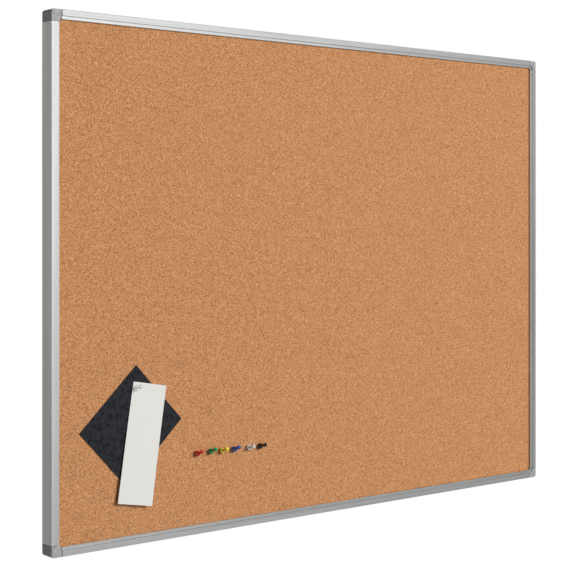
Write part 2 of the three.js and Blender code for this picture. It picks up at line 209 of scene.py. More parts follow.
def corkFinish():
    paint = Finish("corkGrain", Specular_IOR_Level=cork["gloss"])
    bend = paint.node("ShaderNodeTexNoise", None,
                      {"Vector": paint.place, "Scale": 1 / cork["grain"]}, "Color")
    bend = paint.node("ShaderNodeVectorMath", {"operation": "SUBTRACT"}, {0: bend, 1: (0.5, 0.5, 0.5)})
    bend = paint.node("ShaderNodeVectorMath", {"operation": "SCALE"}, {0: bend, "Scale": cork["wander"]})
    where = paint.node("ShaderNodeVectorMath", {"operation": "ADD"}, {0: paint.place, 1: bend})
    grains = {"Vector": where, "Scale": 1 / cork["grain"]}
    pick = paint.node("ShaderNodeTexVoronoi", None, grains, "Color")
    pick = paint.node("ShaderNodeSeparateColor", None, {"Color": pick}, "Red")
    edge = paint.node("ShaderNodeTexVoronoi", {"feature": "DISTANCE_TO_EDGE"}, grains)
    crumbs = {"Vector": where, "Scale": 1 / cork["crumb"]}
    crumb = paint.node("ShaderNodeTexVoronoi", None, crumbs, "Color")
    crumb = paint.node("ShaderNodeSeparateColor", None, {"Color": crumb}, "Green")
    colour = paint.ramp(pick, cork["flecks"])
    colour = paint.shade(colour, crumb, cork["crumbDepth"])
    colour = paint.shade(colour, paint.noise(cork["cloud"]), cork["cloudDepth"])
    # painted shade: the colour is darkened along the seams between grains
    seam = paint.ramp(edge, [(0, cork["seamShade"]), (cork["seamWidth"], grey(1))])
    paint.set("Base Color", paint.product(colour, seam))
    least, spread = cork["roughness"]
    paint.set("Roughness", least + spread * crumb)
    height = pick * cork["grainHeight"] + crumb * cork["crumbHeight"] + edge.least(cork["domeHeight"])
    paint.relief(height, cork["relief"], cork["reliefStrength"])
    return paint.material


aluminium = {
    "colour": tint(203, 204, 203),
    "metallic": 0.9,
    "line": 0.35 * mm,  # width of the drawing lines along a rail
    "lineDepth": 0.05,
    "streak": 4.5 * mm,
    "streakDepth": 0.2,
    "patch": 60 * mm,  # where hands have been
    "patchDepth": 0.025,
    "powder": 0.12 * mm,
    "roughness": 0.345,  # where it is smoothest
    "lineRoughness": 0.08,  # what the lines and the patches add to it
    "patchRoughness": 0.03,
    "relief": 0.01 * mm,
    "reliefStrength": 0.6,
    "lineHeight": 0.6,  # shares of the relief
    "powderHeight": 0.4,
    "drawn": 0.012,  # the lines' width over their length
}


def railFinish(name, stretch):  # stretch is 1 across the lines and small along the rail
    paint = Finish(name, Metallic=aluminium["metallic"])
    lines = paint.noise(aluminium["line"], 3, stretch)
    powder = paint.noise(aluminium["powder"], 2)
    patches = paint.noise(aluminium["patch"], 3)
    streaks = paint.noise(aluminium["streak"], 2, stretch)
    colour = paint.shade(aluminium["colour"], lines, aluminium["lineDepth"])
    colour = paint.shade(colour, streaks, aluminium["streakDepth"])
    paint.set("Base Color", paint.shade(colour, patches, aluminium["patchDepth"]))
    rough = aluminium["roughness"] + aluminium["lineRoughness"] * lines
    paint.set("Roughness", rough + aluminium["patchRoughness"] * patches)
    height = lines * aluminium["lineHeight"] + powder * aluminium["powderHeight"]
    paint.relief(height, aluminium["relief"], aluminium["reliefStrength"])
    return paint.material


moulded = {
    "gloss": 0.8,
    "mottles": (2, 4),  # sizes of the spots, in grains
    "mottleDepth": 0.5,
    "roughness": (0.4, 0.14),
    "reliefStrength": 0.7,
}


def mouldedFinish(name, colour, grain, depth):  # a plastic with the spark-eroded grain of its mould
    paint = Finish(name, Specular_IOR_Level=moulded["gloss"])
    grains = paint.noise(grain, 3)
    for size in moulded["mottles"]:
        colour = paint.shade(colour, paint.noise(size * grain, 2), moulded["mottleDepth"])
    paint.set("Base Color", colour)
    least, spread = moulded["roughness"]
    paint.set("Roughness", least + spread * grains)
    paint.relief(grains, depth, moulded["reliefStrength"])
    return paint.material


steel = {
    "stain": 1.5 * mm,
    "stainDepth": 0.08,
    "roughnessSpread": 0.12,
}


def steelFinish(name, colour, roughness):
    paint = Finish(name, Metallic=1.0)
    stains = paint.noise(steel["stain"], 4)
    paint.set("Base Color", paint.shade(colour, stains, steel["stainDepth"]))
    paint.set("Roughness", roughness + steel["roughnessSpread"] * stains)
    return paint.material


fibre = {
    "gloss": 0.2,
    "roughness": 0.9,
    "drawn": 0.15,  # a hair's width over its length
    "relief": 0.08 * mm,
    "reliefStrength": 0.5,
}


def fibreFinish(name, colour, hair, patch, depth):  # pressed fibre: long fine hairs over soft patches
    paint = Finish(name, Roughness=fibre["roughness"], Specular_IOR_Level=fibre["gloss"])
    lying = paint.noise(hair, 4, (fibre["drawn"], 1, 1))
    standing = paint.noise(hair, 4, (1, 1, fibre["drawn"]))
    hairs = lying * 0.5 + standing * 0.5
    colour = paint.shade(colour, hairs, depth)
    paint.set("Base Color", paint.shade(colour, paint.noise(patch, 3), depth / 2))
    paint.relief(hairs, fibre["relief"], fibre["reliefStrength"])
    return paint.material


pinPlastic = {
    "gloss": 0.5,
    "coat": 0.3,
    "coatRoughness": 0.12,
    "flow": 3 * mm,  # size of the moulding's flow marks
    "flowDepth": 0.05,
    "roughness": (0.2, 0.08),
}
clearPlastic = {
    "colour": tint(238, 238, 234),
    "bending": 1.45,
    "flow": 4 * mm,
    "flowDepth": 0.03,
    "roughness": (0.16, 0.1),
}


def flowing(paint, plastic, colour):
    flow = paint.noise(plastic["flow"], 2)
    paint.set("Base Color", paint.shade(colour, flow, plastic["flowDepth"]))
    least, spread = plastic["roughness"]
    paint.set("Roughness", least + spread * flow)
    return paint.material


def pinFinish(name, colour):
    paint = Finish(name, Specular_IOR_Level=pinPlastic["gloss"], Coat_Weight=pinPlastic["coat"],
                   Coat_Roughness=pinPlastic["coatRoughness"])
    return flowing(paint, pinPlastic, colour)


def clearFinish(name, transmission, alpha):
    paint = Finish(name, IOR=clearPlastic["bending"], Transmission_Weight=transmission, Alpha=alpha)
    return flowing(paint, clearPlastic, clearPlastic["colour"])


cardStock = {
    "gloss": 0.15,
    "blot": 8 * mm,
    "blots": [(0.36, tint(24, 26, 32)), (0.54, tint(42, 44, 47))],
    "grain": 0.7 * mm,
    "grainDepth": 0.12,
    "roughness": (0.6, 0.2),
    "relief": 0.03 * mm,
    "reliefStrength": 0.6,
}


def cardFinish():
    paint = Finish("cardStock", Specular_IOR_Level=cardStock["gloss"])
    blots = paint.ramp(paint.noise(cardStock["blot"], 3), cardStock["blots"])
    grain = paint.noise(cardStock["grain"], 3)
    paint.set("Base Color", paint.shade(blots, grain, cardStock["grainDepth"]))
    least, spread = cardStock["roughness"]
    paint.set("Roughness", least + spread * grain)
    paint.relief(grain, cardStock["relief"], cardStock["reliefStrength"])
    return paint.material


stripPaper = {
    "colour": tint(227, 226, 221),
    "gloss": 0.25,
    "roughness": 0.8,
    "tooth": 0.5 * mm,
    "toothDepth": 0.02,
    "cloud": 30 * mm,
    "cloudDepth": 0.012,
    "relief": 0.015 * mm,
    "reliefStrength": 0.5,
}


def stripFinish():
    paint = Finish("stripPaper", Roughness=stripPaper["roughness"], Specular_IOR_Level=stripPaper["gloss"])
    tooth = paint.noise(stripPaper["tooth"], 3)
    colour = paint.shade(stripPaper["colour"], tooth, stripPaper["toothDepth"])
    colour = paint.shade(colour, paint.noise(stripPaper["cloud"], 2), stripPaper["cloudDepth"])
    paint.set("Base Color", colour)
    paint.relief(tooth, stripPaper["relief"], stripPaper["reliefStrength"])
    return paint.material


railFinishes = {
    "top": railFinish("anodisedLying", (aluminium["drawn"], 1, 1)),
    "left": railFinish("anodisedStanding", (1, 1, aluminium["drawn"])),
}
railFinishes["bottom"] = railFinishes["top"]
railFinishes["right"] = railFinishes["left"]
capPlastic = mouldedFinish("capPlastic", tint(155, 156, 157), 1.1 * mm, 0.06 * mm)
blockPlastic = mouldedFinish("blockPlastic", tint(48, 50, 53), 0.9 * mm, 0.04 * mm)
screwSteel = steelFinish("zincSteel", tint(196, 200, 205), 0.25)
needleSteel = steelFinish("needleSteel", tint(205, 207, 210), 0.13)
softboard = fibreFinish("softboardFibre", tint(180, 154, 116), 1.2 * mm, 30 * mm, 0.2)
backing = fibreFinish("backingSheet", tint(146, 141, 133), 0.8 * mm, 60 * mm, 0.12)
cadFinishes = {"cork_sheet": corkFinish(), "softboard_core": softboard, "backing_sheet": backing}
cadFinishes.update({"corner_block_" + corner: blockPlastic for corner in cornerNames})
for name, finish in cadFinishes.items():
    for holder in frame["nodes"][name].material_slots:
        holder.material = finish
print("finishes ready:", len(bpy.data.materials))


# Shapes

def roundedPath(corners, steps, closed=True):  # each corner is x, y and a rounding radius
    points = []
    for index, (x, y, radius) in enumerate(corners):
        here = Vector((x, y))
        atEnd = not closed and index in (0, len(corners) - 1)
        if radius == 0 or atEnd:
            points.append(here)
            continue
        back = (Vector(corners[index - 1][:2]) - here).normalized()
        ahead = (Vector(corners[(index + 1) % len(corners)][:2]) - here).normalized()
        half = back.angle(ahead) / 2
        centre = here + (back + ahead).normalized() * (radius / math.sin(half))
        start = here + back * (radius / math.tan(half)) - centre
        turn = start.angle_signed(here + ahead * (radius / math.tan(half)) - centre)
        for step in range(steps + 1):
            angle = -turn * step / steps
            points.append(centre + Matrix.Rotation(angle, 2) @ start)
    return points


def pieceFrom(mesh, name):
    made = bpy.data.objects.new(name, mesh)
    bpy.context.collection.objects.link(made)
    return made


def smooth(mesh, angle):
    mesh.shade_smooth()
    mesh.set_sharp_from_angle(angle=math.radians(angle))


def wireMesh(name, loops, closed=True):  # outlines as bare edges, for a tree to fill or turn
    points = [(point.x, point.y, 0) for loop in loops for point in loop]
    edges = []
    first = 0
    for loop in loops:
        last = first + len(loop) - 1
        edges += [(index, index + 1) for index in range(first, last)]
        if closed:
            edges.append((last, first))
        first = last + 1
    mesh = bpy.data.meshes.new(name)
    mesh.from_pydata(points, edges, [])
    return mesh


def applied(piece):  # its modifiers become its mesh
    graph = bpy.context.evaluated_depsgraph_get()
    mesh = bpy.data.meshes.new_from_object(piece.evaluated_get(graph))
    piece.modifiers.clear()
    piece.data = mesh
    return mesh


def dress(piece, body, node):  # the body that carries it and the CAD node that it replaces
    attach(piece, body)
    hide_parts(node)


def titled(name):
    return "".join(word.capitalize() for word in name.split("_"))


def finished(piece, angle, place=None):  # a plain, clean mesh in its place, smooth up to the angle
    mesh = applied(piece)
    body = bmesh.new()
    body.from_mesh(mesh)
    bmesh.ops.remove_doubles(body, verts=body.verts, dist=weld / 2)
    bmesh.ops.recalc_face_normals(body, faces=body.faces)
    body.to_mesh(mesh)
    body.free()
    mesh.transform(place or Matrix.Identity(4))
    smooth(mesh, angle)
    return piece


def throughTree(piece, tree, **values):  # gives the piece a tree, its inputs set by name
    modifier = piece.modifiers.new(tree.name, "NODES")
    modifier.node_group = tree
    for item in tree.interface.items_tree:
        if item.in_out == "INPUT" and item.name in values:
            modifier[item.identifier] = values[item.name]
    return piece


def newTree(name, **inputs):  # a geometry tree with one geometry in, one out and named inputs
    tree = bpy.data.node_groups.new(name, "GeometryNodeTree")
    tree.interface.new_socket("Geometry", in_out="INPUT", socket_type="NodeSocketGeometry")
    tree.interface.new_socket("Geometry", in_out="OUTPUT", socket_type="NodeSocketGeometry")
    for title, (kind, value) in inputs.items():
        socket = tree.interface.new_socket(title, in_out="INPUT", socket_type="NodeSocket" + kind)
        if value is not None:
            socket.default_value = value
    plan = Tree(tree)
    source = tree.nodes.new("NodeGroupInput")
    plan.given = {output.name: Wire(output) for output in source.outputs if output.name}
    return plan


def closeTree(plan, geometry):
    realized = plan.node("GeometryNodeRealizeInstances", None, {"Geometry": geometry})
    dressed = plan.node("GeometryNodeSetMaterial", None,
                        {"Geometry": realized, "Material": plan.given["Material"]})
    plan.node("NodeGroupOutput", None, {"Geometry": dressed})
    return plan.tree


# Turned pieces: the outline's x is the radius and its y lies on the axis

def buildTurnTree():
    plan = newTree("turnOutline", Steps=("Int", 32), Material=("Material", None))
    outline = plan.given["Geometry"]
    count = plan.node("GeometryNodeAttributeDomainSize", {"component": "MESH"}, {"Geometry": outline})
    columns = plan.given["Steps"] + 1
    grid = plan.node("GeometryNodeMeshGrid", None,
                     {"Size X": 1.0, "Size Y": 1.0, "Vertices X": columns, "Vertices Y": count})
    place = plan.node("GeometryNodeInputPosition")
    split = plan.node("ShaderNodeSeparateXYZ", None, {"Vector": place})
    row = (split.beside("Y") + 0.5) * (count - 1) + 0.5
    sampled = plan.node("GeometryNodeSampleIndex", {"data_type": "FLOAT_VECTOR", "domain": "POINT"},
                        {"Geometry": outline, "Value": place, "Index": row.of("FLOOR")})
    point = plan.node("ShaderNodeSeparateXYZ", None, {"Vector": sampled})
    angle = (split + 0.5) * (2 * math.pi)
    turned = plan.node("ShaderNodeCombineXYZ", None, {
        "X": point * angle.of("COSINE"),
        "Y": point.beside("Y"),
        "Z": point * angle.of("SINE"),
    })
    moved = plan.node("GeometryNodeSetPosition", None, {"Geometry": grid, "Position": turned})
    merged = plan.node("GeometryNodeMergeByDistance", None, {"Geometry": moved, "Distance": weld})
    return closeTree(plan, merged)


turnTree = buildTurnTree()


def turnedPiece(name, corners, steps, finish, place=None, rounds=4):
    outline = wireMesh(name, [roundedPath(corners, rounds, closed=False)], closed=False)
    piece = throughTree(pieceFrom(outline, name), turnTree, Steps=steps, Material=finish)
    return finished(piece, softAngle, place)


# Frame screws, countersunk into the rails' rear flanges

screw = {
    "fromCorner": 33 * mm,
    "fromEdge": 4.65 * mm,
    "headRadius": 2.7 * mm,
    "shankRadius": 1.3 * mm,
    "threadDepth": 0.25 * mm,
    "headDepth": 1.2 * mm,
    "rimRound": 0.12 * mm,
    "length": 7.6 * mm,
    "sunk": 0.2 * mm,
    "point": 1.6 * mm,
    "pitch": 0.9 * mm,
    "recessLength": 2.8 * mm,
    "recessWidth": 0.6 * mm,
    "recessDepth": 0.7 * mm,
    "steps": 40,
    "seed": 3,  # of the turns that the recesses came to rest at
}


def screwOutline():  # its threads are rings, as fine as the eye can tell
    top = -screw["sunk"]
    neck = top - screw["headDepth"]
    tip = top - screw["length"]
    core = screw["shankRadius"] - screw["threadDepth"]
    corners = [(0, top, 0), (screw["headRadius"], top, screw["rimRound"]), (screw["shankRadius"], neck, 0)]
    along = neck - screw["pitch"]
    while along > tip + screw["point"]:
        corners.append((core, along + screw["pitch"] / 2, 0))
        corners.append((screw["shankRadius"], along, 0))
        along -= screw["pitch"]
    return corners + [(core, tip + screw["point"], 0), (0, tip, 0)]


def buildScrewTree():
    plan = newTree("screwRow", Screw=("Object", None), Recess=("Vector", (0, 0, 0)),
                   Seed=("Int", screw["seed"]), Material=("Material", None))
    one = plan.node("GeometryNodeObjectInfo", None, {"Object": plan.given["Screw"]}, "Geometry")
    slots = []
    for turn in (0, quarter):
        slot = plan.node("GeometryNodeMeshCube", None, {"Size": plan.given["Recess"]})
        spin = {"Geometry": slot, "Rotation": (0, turn, 0), "Translation": (0, -screw["sunk"], 0)}
        slots.append(plan.node("GeometryNodeTransform", None, spin))
    cross = plan.node("GeometryNodeMeshBoolean", {"operation": "UNION", "solver": "EXACT"},
                      {"Mesh 2": slots[0]})
    plan.tree.links.new(slots[1].socket, cross.socket.node.inputs["Mesh 2"])
    cut = plan.node("GeometryNodeMeshBoolean", {"operation": "DIFFERENCE", "solver": "EXACT"},
                    {"Mesh 1": one, "Mesh 2": cross})
    angle = plan.node("FunctionNodeRandomValue", {"data_type": "FLOAT"},
                      {2: 0.0, 3: quarter, "Seed": plan.given["Seed"]}, 1)
    turn = plan.node("ShaderNodeCombineXYZ", None, {"Y": angle})
    rows = plan.node("GeometryNodeInstanceOnPoints", None,
                     {"Points": plan.given["Geometry"], "Instance": cut, "Rotation": turn})
    return closeTree(plan, rows)


def cornerPlace(turns):  # a corner's own frame: the board's corner at the origin, as drawn for the top left
    right = board["width"] / 2 * (-1 if turns in (0, 3) else 1)
    up = board["height"] / 2 * (1 if turns in (0, 1) else -1)
    return Matrix.Translation((right, 0, up)) @ Matrix.Rotation(turns * quarter, 4, "Y")


def makeScrews():
    seats = []
    names = []
    for turns, corner in enumerate(cornerNames):
        near, far = screw["fromEdge"], screw["fromCorner"]
        for number, (right, down) in enumerate(((far, near), (near, far)), 1):
            seats.append(cornerPlace(turns) @ Vector((right, 0, -down)))
            names.append(f"frame_screw_{corner}_{number}")
    master = turnedPiece("screwMaster", screwOutline(), screw["steps"], screwSteel)
    points = bpy.data.meshes.new("screwSeats")
    points.from_pydata(seats, [], [])
    row = pieceFrom(points, "frameScrews")
    recess = (screw["recessLength"], 2 * screw["recessDepth"], screw["recessWidth"])
    throughTree(row, buildScrewTree(), Screw=master, Recess=recess, Seed=screw["seed"], Material=screwSteel)
    finished(row, softAngle)
    bpy.data.objects.remove(master)
    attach(row, "frame")
    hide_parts(*names)


makeScrews()
print("frame screws made")


# Rails: the section's x runs in from the outer edge, its y back from the front face

rail = {
    "face": 16 * mm,
    "outerBand": 10.4 * mm,
    "bandStep": 2 * mm,
    "bandFall": 0.1 * mm,
    "lip": 2.9 * mm,
    "bead": 1.4 * mm,
    "beadDepth": 1 * mm,
    "wall": 1.4 * mm,
    "chamber": 6.2 * mm,
    "flange": 9 * mm,
    "rearLip": 6 * mm,
    "web": 18.6 * mm,
    "outerRound": 0.8 * mm,
    "edgeRound": 0.12 * mm,
    "browRound": 0.3 * mm,
    "footRound": 0.7 * mm,
    "nookRound": 0.1 * mm,
    "grooveDepth": 0.5 * mm,
    "grooves": ((0.1, 1.4 * mm), (0.41, 2.4 * mm), (0.65, 1.4 * mm)),  # share of the depth, width
    "holeClearance": 0.3 * mm,
    "past": 1 * mm,  # how far a hole's cutter runs past the flange
    "holeSteps": 32,
    "softAngle": 50,
    "seam": 0.5 * mm,  # between a rail's end and the cap beside it
    "wideSeam": 1.1 * mm,  # the same, at the left ends of the lying rails
}


def innerBand():  # depths behind the front: of the band's inner edge and of its lip's back
    innerFace = rail["bandStep"] + rail["bandFall"]
    return innerFace, innerFace + rail["lip"]


def railSection():
    wall, edge, nook = rail["wall"], rail["edgeRound"], rail["nookRound"]
    innerFace, lipBack = innerBand()
    chamberIn = wall + rail["chamber"]
    grooveIn = chamberIn + wall
    depth = board["depth"]
    corners = [
        (0, 0, rail["outerRound"]),
        (rail["outerBand"], 0, rail["browRound"]),
        (rail["outerBand"], rail["bandStep"], rail["footRound"]),
        (rail["face"], innerFace, edge),
        (rail["face"], lipBack, nook),
        (rail["face"] - rail["bead"], lipBack, nook),
        (rail["face"] - rail["bead"], lipBack - rail["beadDepth"], nook),
        (grooveIn, lipBack - rail["beadDepth"], nook),
        (grooveIn, rail["web"], nook),
        (grooveIn + rail["rearLip"], rail["web"], edge),
        (grooveIn + rail["rearLip"], rail["web"] + wall, edge),
        (wall, rail["web"] + wall, nook),
        (wall, depth - wall, nook),
        (rail["flange"], depth - wall, edge),
        (rail["flange"], depth, edge),
        (0, depth, edge),
    ]
    for share, width in reversed(rail["grooves"]):
        middle = share * depth
        bottom = rail["grooveDepth"]
        corners += [
            (0, middle + width / 2, nook),
            (bottom, middle + width / 8, nook),
            (bottom, middle - width / 8, nook),
            (0, middle - width / 2, nook),
        ]
    hollow = [
        (wall, wall, nook),
        (wall, rail["web"], nook),
        (chamberIn, rail["web"], nook),
        (chamberIn, wall, nook),
    ]
    return wireMesh("railSection", [roundedPath(corners, 4), roundedPath(hollow, 3)])


def buildRailTree():
    plan = newTree("railExtrusion", Length=("Float", 1.0), Shift=("Float", 0.0), Cutter=("Object", None),
                   Spacing=("Float", 0.5), Inset=("Float", 0.005), Material=("Material", None))
    curve = plan.node("GeometryNodeMeshToCurve", None, {"Mesh": plan.given["Geometry"]})
    end = plan.node("GeometryNodeFillCurve", {"mode": "TRIANGLES"}, {"Curve": curve})
    length = plan.node("ShaderNodeCombineXYZ", None, {"Z": plan.given["Length"]})
    drawn = plan.node("GeometryNodeExtrudeMesh", {"mode": "FACES"},
                      {"Mesh": end, "Offset": length, "Offset Scale": 1.0, "Individual": False})
    rear = plan.node("GeometryNodeFlipFaces", None, {"Mesh": end})
    joined = plan.node("GeometryNodeJoinGeometry", None, {"Geometry": drawn})
    plan.tree.links.new(rear.socket, joined.socket.node.inputs[0])
    bar = plan.node("GeometryNodeMergeByDistance", None, {"Geometry": joined, "Distance": weld})
    start = plan.given["Length"] * -0.5 + plan.given["Shift"]
    start = plan.node("ShaderNodeCombineXYZ", None, {"Z": start})
    bar = plan.node("GeometryNodeTransform", None, {"Geometry": bar, "Translation": start})
    first = plan.node("ShaderNodeCombineXYZ", None,
                      {"X": plan.given["Inset"], "Y": board["depth"], "Z": plan.given["Spacing"] * -0.5})
    stride = plan.node("ShaderNodeCombineXYZ", None, {"Z": plan.given["Spacing"]})
    seats = plan.node("GeometryNodeMeshLine", None, {"Count": 2, "Start Location": first, "Offset": stride})
    cutter = plan.node("GeometryNodeObjectInfo", None, {"Object": plan.given["Cutter"]}, "Geometry")
    cutters = plan.node("GeometryNodeInstanceOnPoints", None, {"Points": seats, "Instance": cutter})
    cutters = plan.node("GeometryNodeRealizeInstances", None, {"Geometry": cutters})
    bored = plan.node("GeometryNodeMeshBoolean", {"operation": "DIFFERENCE", "solver": "EXACT"},
                      {"Mesh 1": bar, "Mesh 2": cutters})
    return closeTree(plan, bored)


def weighFaces(piece):  # broad flats keep flat shading beside their small roundings
    weigh = piece.modifiers.new("weigh", "WEIGHTED_NORMAL")
    weigh.mode = "FACE_AREA"
    weigh.keep_sharp = True
    applied(piece)


def holeOutline():  # a countersunk hole through the flange, with room about the screw
    bore = screw["shankRadius"] + rail["holeClearance"]
    mouth = screw["headRadius"] + rail["holeClearance"]
    end = -rail["wall"] - rail["past"]
    return [
        (0, rail["past"], 0),
        (mouth, rail["past"], 0),
        (mouth, -screw["sunk"], 0),
        (bore, -screw["sunk"] - screw["headDepth"], 0),
        (bore, end, 0),
        (0, end, 0),
    ]


def makeRails():
    cutter = turnedPiece("holeCutter", holeOutline(), rail["holeSteps"], screwSteel)
    section = railSection()
    tree = buildRailTree()
    drawn = Matrix(((0, 0, 1, 0), (0, 1, 0, -board["depth"]), (-1, 0, 0, 0), (0, 0, 0, 1)))
    for turns, side in enumerate(sideNames):
        across, up = board["width"], board["height"]
        lying = side in ("top", "bottom")
        along, reach = (across, up / 2) if lying else (up, across / 2)
        place = Matrix.Rotation(turns * quarter, 4, "Y") @ Matrix.Translation((0, 0, reach)) @ drawn
        piece = pieceFrom(section.copy(), "rail" + titled(side))
        wider = rail["wideSeam"] - rail["seam"] if lying else 0.0
        throughTree(piece, tree, Length=along - 2 * (board["capLeg"] + rail["seam"]) - wider,
                    Shift=wider / 2 if side == "top" else -wider / 2, Cutter=cutter,
                    Spacing=along - 2 * screw["fromCorner"], Inset=screw["fromEdge"],
                    Material=railFinishes[side])
        weighFaces(finished(piece, rail["softAngle"], place))
        dress(piece, "frame", "rail_" + side)
    bpy.data.objects.remove(cutter)


makeRails()
print("rails made")


# Corner caps: a section that turns about the middle of the cap's inner curve

cap = {
    "outerRadius": 5.5 * mm,
    "innerRadius": 4 * mm,
    "stepRadius": 9.6 * mm,
    "ringRadius": 10.6 * mm,
    "wall": 1.8 * mm,
    "plate": 3.4 * mm,
    "outerRound": 0.9 * mm,
    "edgeRound": 0.3 * mm,
    "endRound": 0.45 * mm,
    "stations": 40,
    "softAngle": 50,
    "endAngle": 60,  # edges that turn more are rounded
    "legFrom": 13.7 * mm,
    "legTo": 18 * mm,
    "legIn": 4.75 * mm,
    "legThickness": 1.6 * mm,
    "legBack": 11.4 * mm,
}


def outlineReach(angle, inset):  # distance from the cap's turning centre to its outline, drawn in by inset
    leg = board["capLeg"]
    across, up = math.cos(angle), math.sin(angle)
    straight = (leg - inset) / max(across, up)
    radius = cap["outerRadius"] - inset
    bend = leg - inset - radius
    if straight * min(across, up) <= bend:
        return straight
    spread = bend * (across + up)
    return spread + math.sqrt(spread * spread - 2 * bend * bend + radius * radius)


def capSection():  # rings are radii about the turning centre, walls are insets from the outline
    far = 1.0  # marks a wall's inset, which is far past any ring
    edge = cap["edgeRound"]
    innerFace, lipBack = innerBand()
    corners = [
        (cap["innerRadius"], innerFace, edge),
        (cap["stepRadius"], rail["bandStep"], edge / 2),
        (cap["stepRadius"], 0, edge),
        (far, 0, cap["outerRound"]),
        (far, board["depth"], edge),
        (far - cap["wall"], board["depth"], edge),
        (far - cap["wall"], cap["plate"], edge),
        (cap["ringRadius"], cap["plate"], 0),
        (cap["ringRadius"], lipBack, 0),
        (cap["innerRadius"], lipBack, edge / 2),
    ]
    return roundedPath(corners, 4), far


def capMesh():
    section, far = capSection()
    leg = board["capLeg"]
    mesh = bmesh.new()
    rings = []
    for station in range(cap["stations"] + 1):
        angle = quarter * station / cap["stations"]
        ring = []
        for point in section:
            reach = point.x if point.x < far / 2 else outlineReach(angle, far - point.x)
            spot = (leg - reach * math.cos(angle), point.y - board["depth"], reach * math.sin(angle) - leg)
            ring.append(mesh.verts.new(spot))
        rings.append(ring)
    for first, second in zip(rings, rings[1:]):
        for index in range(len(section)):
            after = (index + 1) % len(section)
            mesh.faces.new((first[index], first[after], second[after], second[index]))
    mesh.faces.new(rings[0])
    mesh.faces.new(reversed(rings[-1]))
    bmesh.ops.recalc_face_normals(mesh, faces=mesh.faces)
    made = bpy.data.meshes.new("cornerCap")
    mesh.to_mesh(made)
    mesh.free()
    return made


def legMesh():  # the two snap legs behind the cap's plate
    made = bpy.data.meshes.new("snapLegs")
    mesh = bmesh.new()
    top = rail["bandStep"] + cap["edgeRound"] - board["depth"]
    bottom = cap["legBack"] - board["depth"]
    spans = [
        ((cap["legFrom"], cap["legTo"]), (-cap["legIn"], -cap["legIn"] + cap["legThickness"])),
        ((cap["legIn"] - cap["legThickness"], cap["legIn"]), (-cap["legTo"], -cap["legFrom"])),
    ]
    for (left, right), (low, high) in spans:
        size = Vector((right - left, bottom - top, high - low))
        middle = Vector(((left + right) / 2, (top + bottom) / 2, (low + high) / 2))
        shape = Matrix.Translation(middle) @ Matrix.Diagonal((*size, 1))
        bmesh.ops.create_cube(mesh, size=1.0, matrix=shape)
    mesh.to_mesh(made)
    mesh.free()
    return made


def makeCaps():
    legs = pieceFrom(legMesh(), "snapLegs")
    shape = capMesh()
    for turns, corner in enumerate(cornerNames):
        piece = pieceFrom(shape.copy(), "cap" + titled(corner))
        piece.data.materials.append(capPlastic)
        join = piece.modifiers.new("legs", "BOOLEAN")
        join.operation = "UNION"
        join.solver = "EXACT"
        join.object = legs
        soften = piece.modifiers.new("ends", "BEVEL")
        soften.width = cap["endRound"]
        soften.segments = 2
        soften.limit_method = "ANGLE"
        soften.angle_limit = math.radians(cap["endAngle"])
        weighFaces(finished(piece, cap["softAngle"], cornerPlace(turns)))
        dress(piece, "cap_" + corner, "corner_cap_" + corner)
    bpy.data.objects.remove(legs)


makeCaps()
print("corner caps made")


# Push pins: y is measured along the pin, and its head points to -y

pin = {
    "flangeRadius": 5.3 * mm,
    "flangeThickness": 4.2 * mm,
    "flangeRound": 2.5 * mm,
    "flangeRim": 0.7 * mm,
    "waistRadius": 2.5 * mm,
    "waistCurve": 6 * mm,
    "waistFoot": (1.04, 0.2 * mm),  # its radius there, in waists, and its rounding
    "waistTop": (1.1, 0.4 * mm),
    "headRadius": 3.65 * mm,
    "headLength": 4.8 * mm,
    "headRound": 1.3 * mm,
    "headUnder": 1.04 * mm,  # the rounding under the head
    "headFall": 0.1 * mm,  # how far its under and outer faces fall away
    "headDish": 2 * mm,  # the rounding halfway out on its outer face
    "length": 14.4 * mm,
    "socketRadius": 0.9 * mm,
    "socketDepth": 8 * mm,
    "socketMouth": 0.15 * mm,
    "needleRadius": 0.6 * mm,
    "needleLength": 11 * mm,
    "needlePoint": 2.5 * mm,
    "needleTaper": 3 * mm,
    "smallRound": 0.1 * mm,
    "steps": 64,
    "rounds": 5,
    "needleSteps": 24,
}
pinColours = {
    "red": tint(206, 46, 30),
    "green": tint(24, 148, 88),
    "yellow": tint(232, 214, 56),
    "blue": tint(38, 84, 164),
    "black": tint(7, 7, 8),
}


def gripOutline():
    flange, head, waist = pin["flangeRadius"], pin["headRadius"], pin["waistRadius"]
    thick, length, fall = pin["flangeThickness"], pin["length"], pin["headFall"]
    shoulder = length - pin["headLength"]
    socket, deep = pin["socketRadius"], pin["socketDepth"]
    foot, footRound = pin["waistFoot"]
    top, topRound = pin["waistTop"]
    return [
        (0, -deep, 0),
        (socket, -deep, pin["smallRound"]),
        (socket, 0, pin["socketMouth"]),
        (flange, 0, pin["flangeRim"]),
        (flange, -thick, pin["flangeRound"]),
        (foot * waist, -thick, footRound),
        (waist, -(thick + shoulder) / 2, pin["waistCurve"]),
        (top * waist, -shoulder, topRound),
        (head, -shoulder - fall, pin["headUnder"]),
        (head, -length, pin["headRound"]),
        (head / 2, fall / 2 - length, pin["headDish"]),
        (0, fall - length, 0),
    ]


def needleOutline():
    radius, length = pin["needleRadius"], pin["needleLength"]
    top = board["gap"] - pin["socketDepth"]
    return [
        (0, top, 0),
        (radius, top, pin["smallRound"]),
        (radius, length - pin["needlePoint"], pin["needleTaper"]),
        (0, length, 0),
    ]


